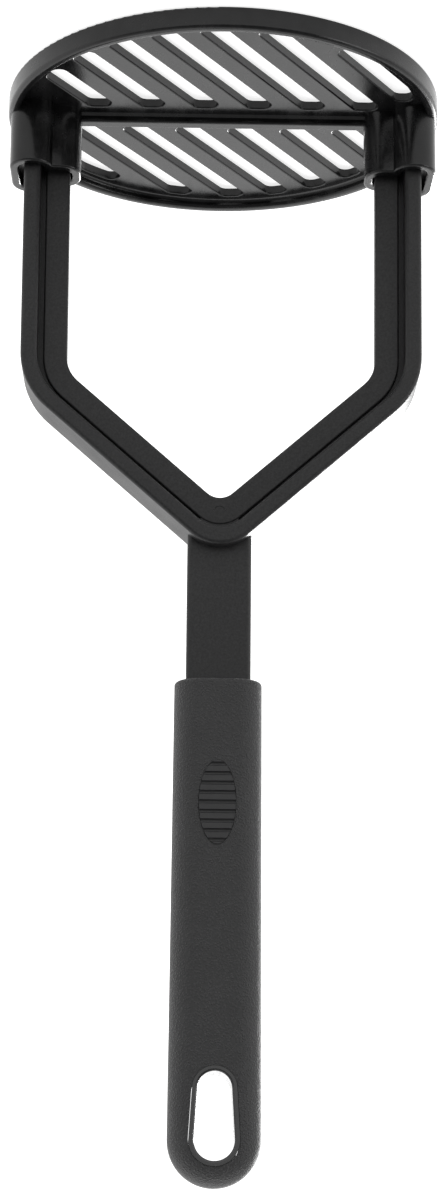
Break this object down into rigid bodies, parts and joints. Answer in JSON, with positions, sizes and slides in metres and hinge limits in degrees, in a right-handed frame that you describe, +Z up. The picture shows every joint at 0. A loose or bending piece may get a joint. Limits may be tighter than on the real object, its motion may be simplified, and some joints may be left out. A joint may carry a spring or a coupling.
{
  "type": "potato masher",
  "caption": "Hand masher: round slotted plate with rim, rib and side sockets, a pentagon yoke plugged into them, a flat neck and a soft grip with thumb pad and hanging hole.",
  "frame": {"origin": "centre of the mash face, the plane of the plate rim's foot, where the object stands", "axes": "+Z up along the handle to its round end, X across the yoke from arm to arm, -Y out of the side that carries the thumb pad"},
  "size_m": [0.107, 0.107, 0.2648],
  "materials": {
    "nylon": "satin moulded black nylon",
    "core_plastic": "plain moulded black",
    "soft_grip": "matte, fine pebble grain",
    "soft_pad": "matte, smooth ribs",
    "liner_plastic": "polished black"
  },
  "bodies": {
    "root": {"mash_plate": "nylon", "yoke_frame": "nylon", "neck_shaft": "nylon", "handle_core": "core_plastic", "grip_sleeve": "soft_grip", "thumb_pad": "soft_pad", "hang_hole_liner": "liner_plastic"}
  },
  "joints": []
}
